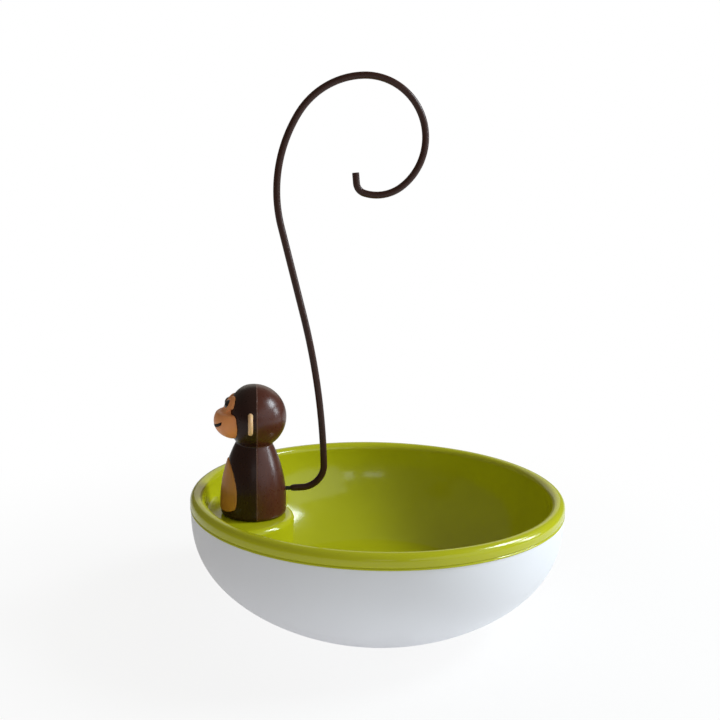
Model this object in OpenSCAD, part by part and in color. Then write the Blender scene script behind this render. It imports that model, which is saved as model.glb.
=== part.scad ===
// Banana hanger: a double-walled fruit bowl with a monkey figure on a moulded ledge.
// The figure's tail is a sleeved steel rod that rises over the bowl and ends in a curled hook.
// Millimetres, +Z up. The origin is the centre of the foot, on the table.
// The figure stands at -X and looks outwards, and the whole tail lies in the XZ plane.

/* [Bowl] */
// Outside diameter of the rim
rim_d = 260; // [230:1:300]
// Height of the rim's top above the table
rim_h = 92; // [86:0.5:110]
// Diameter of the flat foot
foot_d = 110; // [90:1:140]
// Width of the ring that the bowl stands on
foot_ring_w = 6; // [4:0.5:12]
// Depth of the recess inside the foot ring
foot_recess = 1.2; // [0.6:0.1:2.5]
// Wall of the outer bowl
outer_wall = 2.4; // [1.8:0.1:3.2]
// Wall of the inner bowl
liner_wall = 2.2; // [1.6:0.1:3]
// Diameter of the flat floor inside
floor_d = 160; // [120:1:180]
// Height of the inner bowl's floor above the table
floor_h = 22; // [16:0.5:30]
// Radius of the rim's rolled bead
bead_r = 4.8; // [4:0.1:6.5]
// Height of the straight lip below the bead's middle
lip_h = 4.9; // [3:0.1:6]
// Depth of the shadow line round the lip
shadow_line = 0.6; // [0.3:0.1:1]
// Height of the shadow line above the lip's lower edge
shadow_up = 1.4; // [1:0.1:3]
// How far the outer bowl is set back under the lip
lip_step = 0.5; // [0.2:0.1:1]
// Height of the outer bowl's tongue inside the rim
tongue_h = 3.2; // [2:0.1:4]
// Thickness of that tongue
tongue_w = 1.7; // [1.2:0.1:2]
// Clearance between the tongue and the rim
tongue_gap = 0.3; // [0.2:0.05:0.5]

/* [Ledge] */
// Radius of the round ledge that the figure stands on
ledge_r = 42; // [36:0.5:46]
// Distance of the ledge's centre inside the rim's edge
ledge_in = 29.5; // [22:0.5:34]
// Height of the ledge above the table
ledge_h = 76; // [66:0.5:78]
// Rounding of the ledge's top edge
ledge_edge_r = 4; // [2:0.5:6]

/* [Figure] */
// Distance of the figure's axis inside the rim's edge
figure_in = 43.5; // [40:0.5:46]
// Radius of the body at its foot
body_r = 22.5; // [20:0.1:24]
// Height of the body's straight foot
body_foot_h = 8; // [6:0.5:12]
// Rounding of the body's bottom edge
body_edge_r = 3; // [1.5:0.5:3]
// Radius of the body's flank, seen from the side
flank_r = 95; // [90:1:130]
// Radius of the neck
neck_r = 13; // [11:0.1:14]
// Radius of the head
head_r = 22.3; // [21:0.1:23]
// Height of the head's centre above the ledge
head_h = 68.5; // [66:0.1:74]
// How much shallower than the round head the flattened brow is
brow_flat = 4.7; // [4:0.1:5.2]
// Radius of the flattened brow
brow_r = 31; // [28:0.5:36]
// Wall of the two half shells
skin = 2; // [1.6:0.1:2.4]
// How far the seam between the half shells lies behind the axis
seam_back = 2; // [1:0.1:4]
// Depth of the locating lip inside the seam
seam_lip = 1.6; // [1:0.1:2]

/* [Face and belly] */
// Radius of the face plate's own surface, about the head's centre
mask_r = 21.5; // [21.2:0.1:22]
// Radius of the lobe round each eye
eye_lobe_r = 7.3; // [6.5:0.1:8]
// Sideways place of each lobe's centre
eye_lobe_side = 5.1; // [4:0.1:6]
// Height of the lobes above the head's centre
eye_lobe_up = 8.1; // [7:0.1:9]
// Half the width of the plate between the lobes and the muzzle
brow_half_w = 12.2; // [11:0.1:12.4]
// Radius of the muzzle's round section
muzzle_depth = 11; // [10:0.1:12]
// Height of the muzzle's flat top above its middle
muzzle_rise = 6.5; // [5:0.1:8]
// How far the muzzle's middle lies below the head's centre
muzzle_down = 2.3; // [1:0.1:4]
// Forward reach of the muzzle from the head's axis
muzzle_reach = 27.2; // [25:0.1:29]
// Radius of the arc that the muzzle follows across the face
muzzle_sweep_r = 12; // [11.4:0.1:14]
// Half angle of that arc
muzzle_half_turn = 36; // [30:1:45]
// Radius of each eye's outline
eye_r = 2.9; // [2.2:0.1:3.4]
// How far each eye stands proud
eye_proud = 1.2; // [0.8:0.1:1.8]
// Sideways place of each eye
eye_side = 5.2; // [4.4:0.1:6]
// Height of each eye above the head's centre
eye_up = 10.3; // [9:0.1:11]
// Height of the mouth's front below the head's centre
mouth_down = 5.7; // [5:0.1:7]
// Half the width of the mouth
mouth_half_w = 14.5; // [10:0.1:15]
// Thickness of the mouth line
mouth_line_w = 1.6; // [1:0.1:2]
// Rise of the mouth towards its corners, in degrees
mouth_smile = 38; // [20:1:42]
// Radius of each ear
ear_r = 7.4; // [6.5:0.1:9]
// Thickness of each ear
ear_t = 3.4; // [2.6:0.1:4]
// How far the middle of each ear lies in front of the axis
ear_fwd = 2.6; // [2.2:0.1:5]
// How far the middle of each ear lies below the head's centre
ear_down = 0.4; // [0:0.1:4]
// Thickness of the tab that holds each ear
ear_tab_t = 1.7; // [1.2:0.1:2.4]
// Width of the tab that holds each ear
ear_tab_w = 7; // [5:0.5:9]
// Half the width of the belly plate
belly_half_w = 18.9; // [15:0.1:20]
// Height of the belly plate's widest place above the ledge
belly_mid = 13; // [11:0.5:18]
// Height of the belly plate's top above the ledge
belly_top = 39.5; // [34:0.5:43]
// Height of the belly plate's bottom above the ledge
belly_bottom = 4.8; // [4:0.1:8]
// How far the belly plate stands proud
belly_proud = 0.6; // [0.4:0.1:1.4]
// Depth of the recess that the belly plate sits in
belly_seat = 1; // [0.6:0.1:1.2]

/* [Figure base] */
// Thickness of the bottom flange of the half shells, and of the base's plug inside it
flange_t = 3; // [2.5:0.1:4]
// Radius of the base's plug
plug_r = 16.8; // [15:0.1:17.5]
// Thickness of the base's clamping disc
clamp_t = 2.5; // [2:0.1:4]
// Clearance round the base
base_gap = 0.2; // [0.1:0.05:0.4]
// Diameter of the socket tower that holds the tail
tower_d = 15; // [13:0.5:18]
// Height of the socket tower above the tail's rod
tower_over = 6; // [5:0.5:8]
// Sideways place of the two base screws
screw_side = 11.5; // [11:0.5:12.5]
// Shank diameter of the base screws
screw_d = 3; // [2.5:0.1:3.5]
// Length of the base screws under the head
screw_len = 12; // [10:0.5:14]
// Head diameter of the base screws
screw_head_d = 6; // [5:0.1:7]
// Head height of the base screws
screw_head_h = 2; // [1.5:0.1:2.5]

/* [Tail] */
// Height of the whole object
overall_h = 375; // [340:1:420]
// Diameter of the steel rod
rod_d = 2.8; // [2:0.1:3.2]
// Outside diameter of the sleeve
sleeve_d = 4.7; // [3.6:0.1:5]
// Clearance between the rod and the sleeve
sleeve_fit = 0.05; // [0.05:0.05:0.1]
// Length of bare rod behind the figure
bare_len = 3; // [2:0.5:5]
// Length of the sleeve's tapered end
taper_len = 3; // [2:0.5:4]
// Thickness of the sleeve's closed tip
tip_cap = 1.2; // [0.8:0.1:2]
// Height of the tail's root above the ledge
root_h = 17.1; // [14:0.1:20]
// Upward slope of the tail at its root, in degrees
root_slope = 2.5; // [0:0.5:5]
// Straight run from the figure to the elbow
root_run = 11.2; // [8:0.5:16]
// Length of rod inside the figure
rod_grip = 27; // [24:0.5:30]
// Bend radius of the elbow
elbow_r = 15.5; // [12:0.5:20]
// Turn of the elbow, in degrees
elbow_turn = 89.5; // [80:0.5:95]
// Radius of the long stretch that leans over the figure
lean_r = 488; // [300:1:700]
// Turn of that long stretch, in degrees
lean_turn = 12.5; // [8:0.5:16]
// Radius where the tail first bends back over the bowl
crook_r = 96; // [80:1:110]
// Turn there, in degrees
crook_turn = 45.5; // [35:0.5:50]
// Radius before the top of the hook
shoulder_r = 53; // [45:1:65]
// Turn there, in degrees
shoulder_turn = 56.5; // [45:0.5:65]
// Radius of the hook's outer side
hook_r = 40; // [34:1:46]
// Turn of the hook's outer side, in degrees
hook_turn = 143.5; // [130:0.5:150]
// Radius at the bottom of the hook
curl_r = 28; // [20:1:32]
// Turn at the bottom of the hook, in degrees
curl_turn = 55.5; // [40:0.5:65]
// Radius of the last bend
tip_r = 7.5; // [6:0.5:10]
// Turn of the last bend, in degrees
tip_turn = 68; // [50:1:75]
// Straight length after the last bend
tip_run = 7; // [4:0.5:10]

/* [Hidden] */
$fn = 96;

// Bowl
rim_r = rim_d / 2;
foot_r = foot_d / 2;
floor_r = floor_d / 2;
bead_z = rim_h - bead_r;
seat_z = bead_z - lip_h;
mouth_r = rim_r - 2 * bead_r;
shell_top_r = rim_r - lip_step;
tongue_r = rim_r - liner_wall - tongue_gap;
ledge_out = rim_r - ledge_in;
figure_out = rim_r - figure_in;
// Least rounding of the hollow under the ledge
hollow_edge_r = 1;
// Exponents of the outer bowl's curve: how it spreads from the foot and how it rises to the rim
curve_spread = 1.79;
curve_rise = 0.77;
curve_steps = 26;
wall_steps = 18;
bead_steps = 8;
// The inner wall is one arc, upright at the mouth
wall_in = mouth_r - floor_r;
wall_up = bead_z - floor_h;
wall_arc_r = (wall_in * wall_in + wall_up * wall_up) / (2 * wall_in);
wall_arc_turn = asin(wall_up / wall_arc_r);
// Length that reaches past every part, for cuts
beyond = 2 * rim_r;
// How far a cut runs past the face that it starts from
over = 1;

// Figure
body_centre_r = body_r - flank_r;
neck_h = body_foot_h + sqrt(flank_r * flank_r - pow(neck_r - body_centre_r, 2));
flank_steps = 12;
brow_back = brow_r - (head_r - brow_flat);
seam_gap = 0.15;
seam_lip_t = 1;
// Gap between the base's clamping disc and the lip
seam_lip_up = 1;
ear_gap = 0.15;
// How far each ear's tab reaches in from the head's surface
ear_depth = 3.5;
ear_side = sqrt(head_r * head_r - ear_fwd * ear_fwd - ear_down * ear_down);
dish_r = 22;
dish_depth = 0.8;
muzzle_centre = muzzle_reach - muzzle_depth - muzzle_sweep_r;
mouth_proud = 0.25;
mouth_seat = 0.8;
mask_peg_d = 5;
mask_peg_up = 1;
eye_peg_d = 2.6;
eye_peg_len = 1.6;
plate_peg_gap = 0.15;
// Squareness of the belly plate above and below its widest place
belly_top_power = 2;
belly_low_power = 4;
belly_steps = 12;

// Base and screws
pilot_d = screw_d - 0.5;
boss_wall = 2.5;
boss_d = pilot_d + 2 * boss_wall;
// Material left over the end of each screw
boss_cap = 2;
clamp_r = body_r - skin - base_gap;
deck_h = ledge_h - liner_wall;
boss_h = screw_len - liner_wall + boss_cap;
set_screw_d = 4;
set_screw_gap = 0.1;
// How far the set screw lies below the tower's top
set_screw_sink = 0.5;
// Thickness of the sleeve's edge where its taper starts
taper_edge = 0.25;

// Tail, as [straight length, bend radius, turn in degrees]; a turn to the left is positive
sleeve_bore_d = rod_d + 2 * sleeve_fit;
tail_bends = [
    [0, elbow_r, elbow_turn],
    [0, lean_r, lean_turn],
];
hook_bends = [
    [0, crook_r, -crook_turn],
    [0, shoulder_r, -shoulder_turn],
    [0, hook_r, -hook_turn],
    [0, curl_r, -curl_turn],
    [0, tip_r, -tip_turn],
];
tail_root = [-figure_out + body_r, ledge_h + root_h, root_slope];
stalk_start = travel(tail_root, concat([[root_run, 0, 0]], tail_bends));
// The straight stalk below the hook is as long as the whole height needs
hook_crown = crown([0, 0, stalk_start[2]], hook_bends);
stalk_len = (overall_h - sleeve_d / 2 - stalk_start[1] - hook_crown) / sin(stalk_start[2]);
after_root = concat(tail_bends, [[stalk_len, 0, 0]], hook_bends);
sleeve_run = root_run - bare_len - taper_len;
sleeve_path = concat([[sleeve_run, 0, 0]], after_root, [[tip_run - tip_cap, 0, 0]]);
sleeve_start = travel(tail_root, [[bare_len + taper_len, 0, 0]]);
rod_path = concat([[rod_grip + root_run, 0, 0]], after_root, [[tip_run - 2 * tip_cap, 0, 0]]);
rod_start = travel(tail_root, [[-rod_grip, 0, 0]]);
// Height of the rod's middle where it crosses the figure's axis
rod_z = tail_root[1] - body_r * tan(root_slope);
tower_h = rod_z + tower_over - ledge_h;
// Every second length of the tail is this much fuller, and closes over its neighbours' ends
tail_lap = 0.2;
tail_full = 0.01;

// Points of an arc, from one angle to another
function arc(centre, r, from, to, steps) = [
    for (i = [0 : steps])
        let (a = from + (to - from) * i / steps)
        centre + r * [cos(a), sin(a)]
];

// Points of the outer bowl's curve, from the foot to the seat under the lip
function bowl_curve() = [
    for (i = [0 : curve_steps])
        let (t = 90 * i / curve_steps)
        [
            foot_r + (shell_top_r - foot_r) * pow(sin(t), curve_spread),
            seat_z * (1 - pow(cos(t), curve_rise))
        ]
];

// The same points moved inwards by a wall's thickness
function inward(points, d) = [
    for (i = [0 : len(points) - 1])
        let (
            a = points[max(i - 1, 0)],
            b = points[min(i + 1, len(points) - 1)],
            along = (b - a) / norm(b - a)
        )
        points[i] + d * [-along[1], along[0]]
];

// Where a path of bends stands after one step: [x, z, heading]
function step(at, bend) =
    let (
        side = sign(bend[2]),
        heading = at[2] + bend[2]
    )
    [
        at[0] + bend[0] * cos(at[2]) + side * bend[1] * (sin(heading) - sin(at[2])),
        at[1] + bend[0] * sin(at[2]) - side * bend[1] * (cos(heading) - cos(at[2])),
        heading
    ];

function travel(at, path, count = -1, i = 0) =
    i == (count < 0 ? len(path) : count) ? at : travel(step(at, path[i]), path, count, i + 1);

// Highest place of a path that only turns right: where its heading is level
function crown(at, path, i = 0) =
    let (next = step(at, path[i]))
    next[2] > 0 ? crown(next, path, i + 1) : at[1] + path[i][1] * (1 - cos(at[2]));

// A quarter of a rounded outline, from its side to its top
function quarter(w, h, power, steps) = [
    for (i = [0 : steps])
        let (t = 90 * i / steps)
        [w * pow(cos(t), 2 / power), h * pow(sin(t), 2 / power)]
];

function reversed(points) = [for (i = [len(points) - 1 : -1 : 0]) points[i]];
function flipped(points, x, y) = [for (p = points) [x * p[0], y * p[1]]];

// Bowl

module outer_bowl_section() {
    curve = bowl_curve();
    // Where the wall thickens towards the tongue
    thick_z = seat_z - 2 * tongue_h;
    difference() {
        union() {
            polygon(concat([[0, 0]], curve, [[0, seat_z]]));
            translate([0, seat_z])
                square([tongue_r, tongue_h]);
        }
        intersection() {
            polygon(concat([[0, 0]], inward(curve, outer_wall), [[0, seat_z]]));
            translate([0, foot_recess + outer_wall])
                square([rim_r, thick_z - foot_recess - outer_wall]);
        }
        polygon([
            [0, thick_z - over], [inner_r(thick_z) - over, thick_z - over], [inner_r(thick_z), thick_z],
            [tongue_r - tongue_w, seat_z - over], [tongue_r - tongue_w, rim_h], [0, rim_h]
        ]);
        translate([-over, -over])
            square([foot_r - foot_ring_w + over, foot_recess + over]);
    }
}

// Inside radius of the outer bowl's wall at a height near the rim
function inner_r(z) = lookup(z, [for (p = inward(bowl_curve(), outer_wall)) [p[1], p[0]]]);

module outer_bowl() {
    color("white")
        rotate_extrude()
            outer_bowl_section();
}

// The inner bowl filled solid: its back face, the hollow rolled rim and the lip
module liner_block_section() {
    wall_centre = [mouth_r - wall_arc_r, bead_z];
    back = arc(wall_centre, wall_arc_r + liner_wall, -wall_arc_turn, 0, wall_steps);
    bead_centre = [rim_r - bead_r, bead_z];
    difference() {
        union() {
            polygon(concat([[0, floor_h - liner_wall]], back,
                [[mouth_r + liner_wall, rim_h], [0, rim_h]]));
            translate(bead_centre)
                circle(bead_r);
            translate([mouth_r, seat_z])
                square([2 * bead_r, lip_h]);
            translate([0, bead_z])
                square([bead_centre[0], bead_r]);
        }
        // The channel under the bead takes the outer bowl's tongue
        translate(bead_centre)
            circle(bead_r - liner_wall);
        translate([mouth_r + liner_wall, seat_z - over])
            square([2 * (bead_r - liner_wall), lip_h + over]);
        // Below the floor's own thickness nothing is left
        translate([0, -over])
            square([rim_r, floor_h - liner_wall + over]);
        // Shadow line
        translate([rim_r, seat_z + shadow_up])
            rotate(45)
                square(shadow_line * sqrt(2), center = true);
    }
}

// The room inside the bowl, up past the rim
module bowl_room_section() {
    wall_centre = [mouth_r - wall_arc_r, bead_z];
    difference() {
        polygon(concat([[0, floor_h]], arc(wall_centre, wall_arc_r, -wall_arc_turn, 0, wall_steps),
            [[rim_r - bead_r, bead_z], [rim_r - bead_r, rim_h + over], [0, rim_h + over]]));
        translate([rim_r - bead_r, bead_z])
            circle(bead_r);
    }
}

// The ledge as a solid post; inset gives the hollow under it
module ledge_post(inset = 0) {
    r = ledge_r - inset;
    h = ledge_h - inset;
    edge = max(ledge_edge_r - inset, hollow_edge_r);
    translate([-ledge_out, 0, 0])
        rotate_extrude() {
            square([r - edge, h]);
            square([r, h - edge]);
            translate([r - edge, h - edge])
                circle(edge);
        }
}

// Places of the two screws that hold the figure down
module at_screws() {
    for (side = [-1, 1])
        translate([-figure_out, side * screw_side, 0])
            children();
}

module inner_bowl() {
    color("yellowgreen")
        difference() {
            rotate_extrude()
                liner_block_section();
            difference() {
                rotate_extrude()
                    bowl_room_section();
                ledge_post();
            }
            ledge_post(liner_wall);
            at_screws()
                cylinder(h = rim_h, d = screw_d + 2 * base_gap);
        }
}

// Figure, drawn about its own axis and standing on z = 0, with its face towards -X

module on_ledge() {
    translate([-figure_out, 0, ledge_h])
        children();
}

module body_section(inset) {
    bottom = inset > 0 ? flange_t : 0;
    edge = inset > 0 ? 0 : body_edge_r;
    flank_end = asin((neck_h - body_foot_h) / flank_r);
    polygon(concat(
        [[0, bottom]],
        inset > 0
            ? [[body_r - inset, bottom]]
            : arc([body_r - edge, edge], edge, -90, 0, bead_steps),
        arc([body_centre_r, body_foot_h], flank_r - inset, 0, flank_end, flank_steps),
        [[neck_r - inset, head_h], [0, head_h]]
    ));
}

module head(inset) {
    translate([0, 0, head_h])
        intersection() {
            sphere(head_r - inset);
            translate([brow_back, 0, 0])
                sphere(brow_r - inset);
        }
}

module figure_solid(inset = 0) {
    rotate_extrude()
        body_section(inset);
    head(inset);
}

// Half space in front of the seam (side = -1) or behind it (side = 1)
module seam_side(side, shift = 0) {
    translate([side > 0 ? seam_back + shift : seam_back + shift - beyond, -beyond / 2, -beyond / 2])
        cube(beyond);
}

module base_opening() {
    translate([0, 0, -over])
        cylinder(h = flange_t + 2 * over, r = plug_r + base_gap);
}

module hollow_figure() {
    difference() {
        figure_solid();
        figure_solid(skin);
        base_opening();
    }
}

module figure_front_shell() {
    color("#3a211c")
        on_ledge()
            difference() {
                intersection() {
                    hollow_figure();
                    seam_side(-1);
                }
                belly_block(-belly_seat);
                mask_peg(plate_peg_gap);
                for (side = [-1, 1])
                    ear_tab(side, ear_gap);
            }
}

module figure_rear_shell() {
    lip_out = skin + seam_gap;
    color("#3a211c")
        on_ledge()
            difference() {
                union() {
                    intersection() {
                        hollow_figure();
                        seam_side(1);
                    }
                    // Lip that locates the front shell
                    intersection() {
                        difference() {
                            union() {
                                figure_solid(lip_out);
                                // The lip grows out of the rear shell's own wall
                                intersection() {
                                    figure_solid(skin / 2);
                                    seam_side(1);
                                }
                            }
                            figure_solid(lip_out + seam_lip_t);
                        }
                        seam_side(-1, seam_lip);
                        seam_side(1, -seam_lip);
                        translate([-beyond / 2, -beyond / 2, flange_t + clamp_t + seam_lip_up])
                            cube(beyond);
                    }
                }
                tail_hole();
            }
}

// The rod leaves through this hole in the rear shell
module tail_hole() {
    translate([body_r, 0, root_h])
        rotate([0, 90 - root_slope, 0])
            translate([0, 0, -body_r / 2])
                cylinder(h = body_r, d = rod_d + 2 * base_gap);
}

// Front outline of the face plate's brow, and its place on the head
module brow_block() {
    translate([0, 0, head_h])
        intersection() {
            sphere(mask_r);
            rotate([90, 0, -90])
                linear_extrude(head_r + over)
                    union() {
                        for (side = [-1, 1])
                            translate([side * eye_lobe_side, eye_lobe_up])
                                circle(eye_lobe_r);
                        translate([-brow_half_w, -muzzle_down])
                            square([2 * brow_half_w, muzzle_down + eye_lobe_up]);
                    }
        }
}

// Carries the outer half of a section along an arc across the face, and round its two ends
module muzzle_sweep() {
    translate([-muzzle_centre, 0, head_h - muzzle_down]) {
        rotate(180 - muzzle_half_turn)
            rotate_extrude(angle = 2 * muzzle_half_turn)
                translate([muzzle_sweep_r, 0])
                    children();
        for (side = [-1, 1])
            rotate(180 + side * muzzle_half_turn)
                translate([muzzle_sweep_r, 0, 0])
                    rotate(side > 0 ? 0 : 180)
                        rotate_extrude(angle = 180)
                            children();
    }
}

// The muzzle is round in section, with a flat top, and ends in two cheeks
module muzzle_block() {
    muzzle_sweep()
        intersection() {
            circle(muzzle_depth);
            translate([0, -muzzle_depth])
                square([muzzle_depth, muzzle_depth + muzzle_rise]);
        }
    translate([-muzzle_centre, 0, head_h - muzzle_down - muzzle_depth])
        rotate(180 - muzzle_half_turn)
            rotate_extrude(angle = 2 * muzzle_half_turn)
                square([muzzle_sweep_r, muzzle_depth + muzzle_rise]);
}

// Peg on the back of the face plate
module mask_peg(gap = 0) {
    translate([-head_r, 0, head_h + mask_peg_up])
        rotate([0, 90, 0])
            cylinder(h = brow_flat + skin + 2 * gap, d = mask_peg_d + 2 * gap);
}

// The mouth is a thin strip let into the muzzle, which rises towards its corners
module mouth_strip() {
    outside = muzzle_depth + mouth_proud;
    intersection() {
        muzzle_sweep()
            difference() {
                circle(outside);
                circle(muzzle_depth - mouth_seat);
                translate([-outside, -outside])
                    square([outside, 2 * outside]);
            }
        translate([-muzzle_reach, 0, head_h - mouth_down])
            rotate([0, -mouth_smile, 0])
                translate([-muzzle_reach / 2, -mouth_half_w, -mouth_line_w / 2])
                    cube([muzzle_reach, 2 * mouth_half_w, mouth_line_w]);
    }
}

module eye_frame(side) {
    ahead = sqrt(mask_r * mask_r - eye_side * eye_side - eye_up * eye_up);
    translate([0, 0, head_h])
        rotate([0, 0, atan2(side * eye_side, -ahead)])
            rotate([0, acos(eye_up / mask_r), 0])
                children();
}

module eye_peg(side, gap = 0) {
    eye_frame(side)
        translate([0, 0, mask_r - eye_peg_len - gap])
            cylinder(h = 2 * eye_peg_len, d = eye_peg_d + 2 * gap);
}

module face_plate() {
    color("#b9793f")
        on_ledge() {
            difference() {
                union() {
                    brow_block();
                    muzzle_block();
                }
                figure_solid();
                mouth_strip();
                for (side = [-1, 1])
                    eye_peg(side, plate_peg_gap);
            }
            intersection() {
                mask_peg();
                figure_solid();
            }
        }
}

module mouth_line() {
    color("#1a1210")
        on_ledge()
            mouth_strip();
}

module eye(side) {
    ball_r = (eye_r * eye_r + eye_proud * eye_proud) / (2 * eye_proud);
    color("#0d0b0b")
        on_ledge() {
            difference() {
                eye_frame(side)
                    translate([0, 0, mask_r + eye_proud - ball_r])
                        sphere(ball_r);
                translate([0, 0, head_h])
                    sphere(mask_r);
            }
            intersection() {
                eye_peg(side);
                translate([0, 0, head_h])
                    sphere(mask_r);
            }
        }
}

module left_eye() {
    eye(-1);
}

module right_eye() {
    eye(1);
}

// Tab that holds an ear in its slot in the front shell
module ear_tab(side, gap = 0) {
    translate([-ear_fwd, side * ear_side, head_h - ear_down])
        cube([ear_tab_t + 2 * gap, 2 * ear_depth, ear_tab_w + 2 * gap], center = true);
}

// An ear is a disc with a rounded rim, hollowed a little on the side that faces forwards
module ear(side) {
    rim = ear_t / 2;
    color("#d9a066")
        on_ledge() {
            difference() {
                translate([-ear_fwd, side * ear_side, head_h - ear_down])
                    rotate([0, 90, 0])
                        rotate_extrude() {
                            translate([0, -rim])
                                square([ear_r - rim, ear_t]);
                            translate([ear_r - rim, 0])
                                circle(rim);
                        }
                head(0);
                ear_dish(side);
            }
            intersection() {
                ear_tab(side);
                head(0);
            }
        }
}

// Shallow dish in the front of an ear
module ear_dish(side) {
    translate([-ear_fwd - ear_t / 2 - dish_r + dish_depth, side * ear_side, head_h - ear_down])
        sphere(dish_r);
}

module left_ear() {
    ear(-1);
}

module right_ear() {
    ear(1);
}

// Outline of the belly plate seen from the front, drawn through the body
module belly_prism() {
    side = concat(
        reversed(flipped(
            quarter(belly_half_w, belly_mid - belly_bottom, belly_low_power, belly_steps), 1, -1)),
        [for (i = [1 : belly_steps])
            quarter(belly_half_w, belly_top - belly_mid, belly_top_power, belly_steps)[i]]
    );
    rotate([90, 0, -90])
        linear_extrude(beyond)
            translate([0, belly_mid])
                polygon(concat(side, reversed(flipped(side, -1, 1))));
}

// The part of the body's wall under the belly plate, out to a given distance from its surface
module belly_block(out) {
    difference() {
        intersection() {
            belly_prism();
            rotate_extrude()
                body_section(-belly_proud);
        }
        rotate_extrude()
            body_section_at(out);
    }
}

// Plain outline of the body at a distance from its surface, without its rounded bottom edge
module body_section_at(out) {
    flank_end = asin((neck_h - body_foot_h) / flank_r);
    polygon(concat(
        [[0, 0], [body_r + out, 0]],
        arc([body_centre_r, body_foot_h], flank_r + out, 0, flank_end, flank_steps),
        [[0, neck_h]]
    ));
}

module belly_plate() {
    color("#a9692f")
        on_ledge()
            belly_block(-belly_seat);
}

// Base inside the figure: plug, clamping disc, two screw bosses and the tail's socket tower
module figure_base() {
    color("#2c1a17")
        difference() {
            on_ledge() {
                cylinder(h = flange_t, r = plug_r);
                translate([0, 0, flange_t])
                    cylinder(h = clamp_t, r = clamp_r);
                cylinder(h = tower_h, d = tower_d);
                for (side = [-1, 1])
                    translate([0, side * screw_side, 0])
                        cylinder(h = boss_h, d = boss_d);
            }
            at_screws()
                translate([0, 0, ledge_h - over])
                    cylinder(h = boss_h - boss_cap + over, d = pilot_d);
            along_tail(rod_start)
                cylinder(h = rod_grip, d = rod_d);
            translate([-figure_out, 0, rod_z])
                cylinder(h = tower_over + over, d = set_screw_d);
        }
}

module figure_screws() {
    color("silver")
        at_screws()
            translate([0, 0, deck_h]) {
                cylinder(h = screw_len, d = pilot_d);
                translate([0, 0, -screw_head_h])
                    cylinder(h = screw_head_h, d = screw_head_d);
            }
}

// Tail

// One bend or straight of the tail, from before to past its own ends; children are its section
module tail_piece(at, bend, before, past) {
    r = bend[1];
    lap_in = r > 0 ? before / r * 180 / PI : before;
    lap_out = r > 0 ? past / r * 180 / PI : past;
    translate([at[0], 0, at[1]])
        rotate([90, 0, 0])
            rotate(at[2])
                if (r == 0)
                    translate([-lap_in, 0])
                        rotate([90, 0, 90])
                            linear_extrude(bend[0] + lap_in + lap_out)
                                children();
                else if (bend[2] > 0)
                    translate([0, r])
                        rotate(-90 - lap_in)
                            rotate_extrude(angle = bend[2] + lap_in + lap_out)
                                translate([r, 0])
                                    children();
                else
                    translate([0, -r])
                        rotate(90 + bend[2] - lap_out)
                            rotate_extrude(angle = -bend[2] + lap_in + lap_out)
                                translate([r, 0])
                                    children();
}

// A length of the tail; its section reads $full, which is set on every second bend
module tail_sweep(start, path) {
    last = len(path) - 1;
    for (i = [0 : last]) {
        $full = i % 2 == 0 ? 0 : tail_full;
        lap = i % 2 == 0 ? tail_lap : 0;
        tail_piece(travel(start, path, i), path[i], i == 0 ? 0 : lap, i == last ? 0 : lap)
            children();
    }
}

module tail_rod() {
    color("silver")
        tail_sweep(rod_start, rod_path)
            circle(r = rod_d / 2 + $full);
}

// Turns what is drawn upright so that it points along the tail from a place on it
module along_tail(at) {
    translate([at[0], 0, at[1]])
        rotate([0, 90 - at[2], 0])
            children();
}

module tail_sleeve() {
    bore_r = sleeve_bore_d / 2;
    sleeve_r = sleeve_d / 2;
    color("#2b1715") {
        // Tapered end, next to the figure
        along_tail(sleeve_start)
            rotate_extrude()
                polygon([
                    [bore_r + tail_full, -taper_len], [bore_r + taper_edge, -taper_len],
                    [sleeve_r - tail_full, 0], [sleeve_r - tail_full, tail_lap],
                    [bore_r + tail_full, tail_lap]
                ]);
        tail_sweep(sleeve_start, sleeve_path)
            difference() {
                circle(r = sleeve_r + $full);
                circle(r = bore_r - $full);
            }
        // Closed tip over the rod's end
        along_tail(travel(sleeve_start, sleeve_path))
            translate([0, 0, -tail_lap])
                cylinder(h = tip_cap + tail_lap, r = sleeve_r);
    }
}

// Screw in the top of the tower that holds the rod; its end stays just below the tower's top
module tail_set_screw() {
    foot = rod_d / 2 + set_screw_gap;
    color("silver")
        translate([-figure_out, 0, rod_z + foot])
            cylinder(h = tower_over - foot - set_screw_sink, d = set_screw_d);
}

outer_bowl();
inner_bowl();
figure_base();
figure_screws();
figure_front_shell();
figure_rear_shell();
face_plate();
mouth_line();
left_eye();
right_eye();
left_ear();
right_ear();
belly_plate();
tail_rod();
tail_sleeve();
tail_set_screw();
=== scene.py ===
"""Looks of the banana hanger: a double-walled fruit bowl, a figure on its ledge and a tail with a hook.

Lengths are millimetres in the model's own frame, with +Z up and the figure at -X looking outwards. A mesh
is scaled to metres once, when its piece is made.
"""

import math
from functools import partial

import bmesh
import bpy
import numpy as np
from mathutils import Matrix, Vector


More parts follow.
